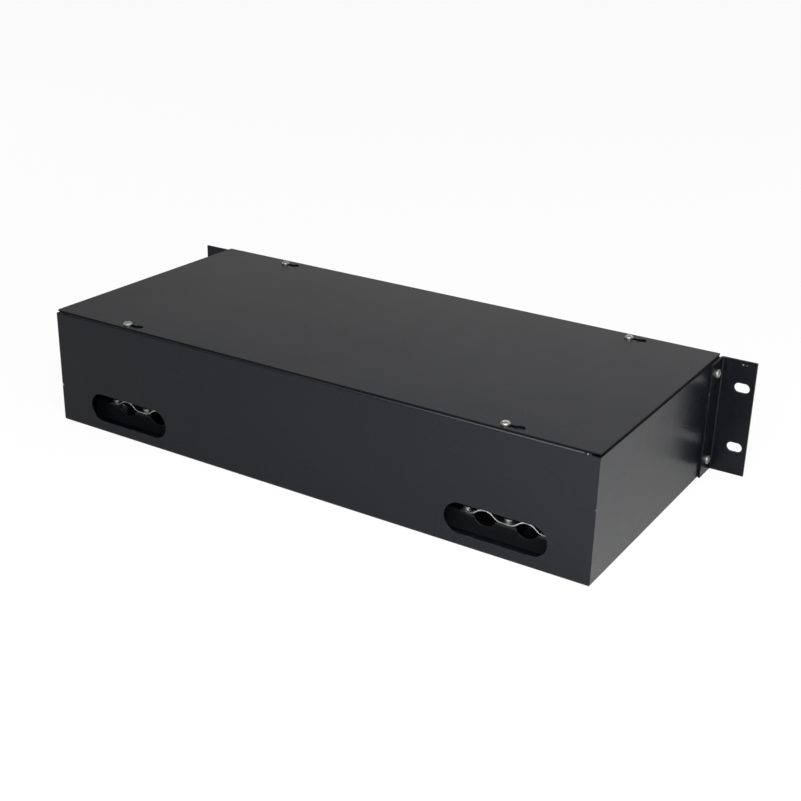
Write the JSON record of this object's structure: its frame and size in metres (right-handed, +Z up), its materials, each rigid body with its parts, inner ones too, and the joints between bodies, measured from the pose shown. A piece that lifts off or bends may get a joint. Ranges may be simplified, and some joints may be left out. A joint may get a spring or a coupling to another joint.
{
  "type": "fibre termination box",
  "caption": "Rack-mount fibre termination box: folded steel case with lift-off top cover, rear cable entries with wave clamps, adapter panel and hinged splice trays.",
  "frame": {"origin": "middle of the whole box's footprint, on the surface that it stands on", "axes": "+X across the rack (right, seen from the front), +Y from the adapters to the cable entries, +Z up"},
  "size_m": [0.4826, 0.218, 0.089],
  "materials": {
    "powder_coat": "black satin powder coat, fine orange peel",
    "screw_steel": "bright zinc plate",
    "zinc_strip": "bright zinc plate",
    "plated_steel": "zinc plate",
    "standoff_brass": "turned brass",
    "adapter_blue": "moulded, semi-gloss",
    "sleeve_bronze": "phosphor bronze",
    "clip_spring": "spring steel",
    "cap_plastic": "soft moulded plastic",
    "tray_plastic": "moulded, fine texture",
    "lid_clear": "clear moulded plastic",
    "comb_rubber": "soft grey rubber",
    "guide_nylon": "natural nylon"
  },
  "bodies": {
    "chassis": {"base_tray": "powder_coat", "cover_nuts": "plated_steel", "adapter_panel": "powder_coat", "adapter_panel_screws": "screw_steel", "rack_ear_left": "powder_coat", "rack_ear_right": "powder_coat", "ear_screws": "screw_steel", "ear_nuts": "plated_steel", "cable_saddle_left": "powder_coat", "cable_saddle_right": "powder_coat", "saddle_studs": "plated_steel", "saddle_nuts": "plated_steel", "anchor_studs": "plated_steel", "anchor_nuts": "plated_steel", "anchor_washers": "plated_steel", "adapters_upper": "adapter_blue", "adapters_lower": "adapter_blue", "alignment_sleeves": "sleeve_bronze", "adapter_clips": "clip_spring", "splice_tray_lower": "tray_plastic", "splice_comb_lower": "comb_rubber", "tray_standoffs": "standoff_brass", "tray_screws": "screw_steel", "fibre_guides": "guide_nylon"},
    "cover_fasteners": {"cover_screws": "screw_steel"},
    "cover": {"top_cover": "powder_coat"},
    "clamp_left": {"cable_clamp_left": "zinc_strip", "clamp_screws_left": "screw_steel"},
    "clamp_right": {"cable_clamp_right": "zinc_strip", "clamp_screws_right": "screw_steel"},
    "cassette": {"splice_tray_upper": "tray_plastic", "splice_comb_upper": "comb_rubber"},
    "cassette_lid": {"splice_tray_lid": "lid_clear"},
    "dust_cap_01_body": {"dust_cap_01": "cap_plastic"},
    "dust_cap_02_body": {"dust_cap_02": "cap_plastic"},
    "dust_cap_03_body": {"dust_cap_03": "cap_plastic"},
    "dust_cap_04_body": {"dust_cap_04": "cap_plastic"},
    "dust_cap_05_body": {"dust_cap_05": "cap_plastic"},
    "dust_cap_06_body": {"dust_cap_06": "cap_plastic"},
    "dust_cap_07_body": {"dust_cap_07": "cap_plastic"},
    "dust_cap_08_body": {"dust_cap_08": "cap_plastic"},
    "dust_cap_09_body": {"dust_cap_09": "cap_plastic"},
    "dust_cap_10_body": {"dust_cap_10": "cap_plastic"},
    "dust_cap_11_body": {"dust_cap_11": "cap_plastic"},
    "dust_cap_12_body": {"dust_cap_12": "cap_plastic"},
    "dust_cap_13_body": {"dust_cap_13": "cap_plastic"},
    "dust_cap_14_body": {"dust_cap_14": "cap_plastic"},
    "dust_cap_15_body": {"dust_cap_15": "cap_plastic"},
    "dust_cap_16_body": {"dust_cap_16": "cap_plastic"},
    "dust_cap_17_body": {"dust_cap_17": "cap_plastic"},
    "dust_cap_18_body": {"dust_cap_18": "cap_plastic"},
    "dust_cap_19_body": {"dust_cap_19": "cap_plastic"},
    "dust_cap_20_body": {"dust_cap_20": "cap_plastic"},
    "dust_cap_21_body": {"dust_cap_21": "cap_plastic"},
    "dust_cap_22_body": {"dust_cap_22": "cap_plastic"},
    "dust_cap_23_body": {"dust_cap_23": "cap_plastic"},
    "dust_cap_24_body": {"dust_cap_24": "cap_plastic"}
  },
  "joints": [
    {"name": "cable_clamp_left_lift", "type": "slide", "parent": "chassis", "child": "clamp_left", "axis": [0, 0, 1], "range_m": [0, 0.006]},
    {"name": "cable_clamp_right_lift", "type": "slide", "parent": "chassis", "child": "clamp_right", "axis": [0, 0, 1], "range_m": [0, 0.006]},
    {"name": "cassette_flip", "type": "hinge", "parent": "chassis", "child": "cassette", "pos_m": [0, -0.03728, 0.0195], "axis": [1, 0, 0], "range_deg": [0, 30]},
    {"name": "cassette_lid_open", "type": "hinge", "parent": "cassette", "child": "cassette_lid", "pos_m": [0, -0.03728, 0.0284], "axis": [1, 0, 0], "range_deg": [0, 28]},
    {"name": "cover_lift", "type": "slide", "parent": "chassis", "child": "cover_fasteners", "axis": [0, 0, 1], "range_m": [0, 0.12]},
    {"name": "cover_shift", "type": "slide", "parent": "cover_fasteners", "child": "cover", "axis": [1, 0, 0], "range_m": [0, 0.0094]},
    {"name": "dust_cap_01_pull", "type": "slide", "parent": "chassis", "child": "dust_cap_01_body", "axis": [0, -1, 0], "range_m": [0, 0.02]},
    {"name": "dust_cap_02_pull", "type": "slide", "parent": "chassis", "child": "dust_cap_02_body", "axis": [0, -1, 0], "range_m": [0, 0.02]},
    {"name": "dust_cap_03_pull", "type": "slide", "parent": "chassis", "child": "dust_cap_03_body", "axis": [0, -1, 0], "range_m": [0, 0.02]},
    {"name": "dust_cap_04_pull", "type": "slide", "parent": "chassis", "child": "dust_cap_04_body", "axis": [0, -1, 0], "range_m": [0, 0.02]},
    {"name": "dust_cap_05_pull", "type": "slide", "parent": "chassis", "child": "dust_cap_05_body", "axis": [0, -1, 0], "range_m": [0, 0.02]},
    {"name": "dust_cap_06_pull", "type": "slide", "parent": "chassis", "child": "dust_cap_06_body", "axis": [0, -1, 0], "range_m": [0, 0.02]},
    {"name": "dust_cap_07_pull", "type": "slide", "parent": "chassis", "child": "dust_cap_07_body", "axis": [0, -1, 0], "range_m": [0, 0.02]},
    {"name": "dust_cap_08_pull", "type": "slide", "parent": "chassis", "child": "dust_cap_08_body", "axis": [0, -1, 0], "range_m": [0, 0.02]},
    {"name": "dust_cap_09_pull", "type": "slide", "parent": "chassis", "child": "dust_cap_09_body", "axis": [0, -1, 0], "range_m": [0, 0.02]},
    {"name": "dust_cap_10_pull", "type": "slide", "parent": "chassis", "child": "dust_cap_10_body", "axis": [0, -1, 0], "range_m": [0, 0.02]},
    {"name": "dust_cap_11_pull", "type": "slide", "parent": "chassis", "child": "dust_cap_11_body", "axis": [0, -1, 0], "range_m": [0, 0.02]},
    {"name": "dust_cap_12_pull", "type": "slide", "parent": "chassis", "child": "dust_cap_12_body", "axis": [0, -1, 0], "range_m": [0, 0.02]},
    {"name": "dust_cap_13_pull", "type": "slide", "parent": "chassis", "child": "dust_cap_13_body", "axis": [0, -1, 0], "range_m": [0, 0.02]},
    {"name": "dust_cap_14_pull", "type": "slide", "parent": "chassis", "child": "dust_cap_14_body", "axis": [0, -1, 0], "range_m": [0, 0.02]},
    {"name": "dust_cap_15_pull", "type": "slide", "parent": "chassis", "child": "dust_cap_15_body", "axis": [0, -1, 0], "range_m": [0, 0.02]},
    {"name": "dust_cap_16_pull", "type": "slide", "parent": "chassis", "child": "dust_cap_16_body", "axis": [0, -1, 0], "range_m": [0, 0.02]},
    {"name": "dust_cap_17_pull", "type": "slide", "parent": "chassis", "child": "dust_cap_17_body", "axis": [0, -1, 0], "range_m": [0, 0.02]},
    {"name": "dust_cap_18_pull", "type": "slide", "parent": "chassis", "child": "dust_cap_18_body", "axis": [0, -1, 0], "range_m": [0, 0.02]},
    {"name": "dust_cap_19_pull", "type": "slide", "parent": "chassis", "child": "dust_cap_19_body", "axis": [0, -1, 0], "range_m": [0, 0.02]},
    {"name": "dust_cap_20_pull", "type": "slide", "parent": "chassis", "child": "dust_cap_20_body", "axis": [0, -1, 0], "range_m": [0, 0.02]},
    {"name": "dust_cap_21_pull", "type": "slide", "parent": "chassis", "child": "dust_cap_21_body", "axis": [0, -1, 0], "range_m": [0, 0.02]},
    {"name": "dust_cap_22_pull", "type": "slide", "parent": "chassis", "child": "dust_cap_22_body", "axis": [0, -1, 0], "range_m": [0, 0.02]},
    {"name": "dust_cap_23_pull", "type": "slide", "parent": "chassis", "child": "dust_cap_23_body", "axis": [0, -1, 0], "range_m": [0, 0.02]},
    {"name": "dust_cap_24_pull", "type": "slide", "parent": "chassis", "child": "dust_cap_24_body", "axis": [0, -1, 0], "range_m": [0, 0.02]}
  ]
}
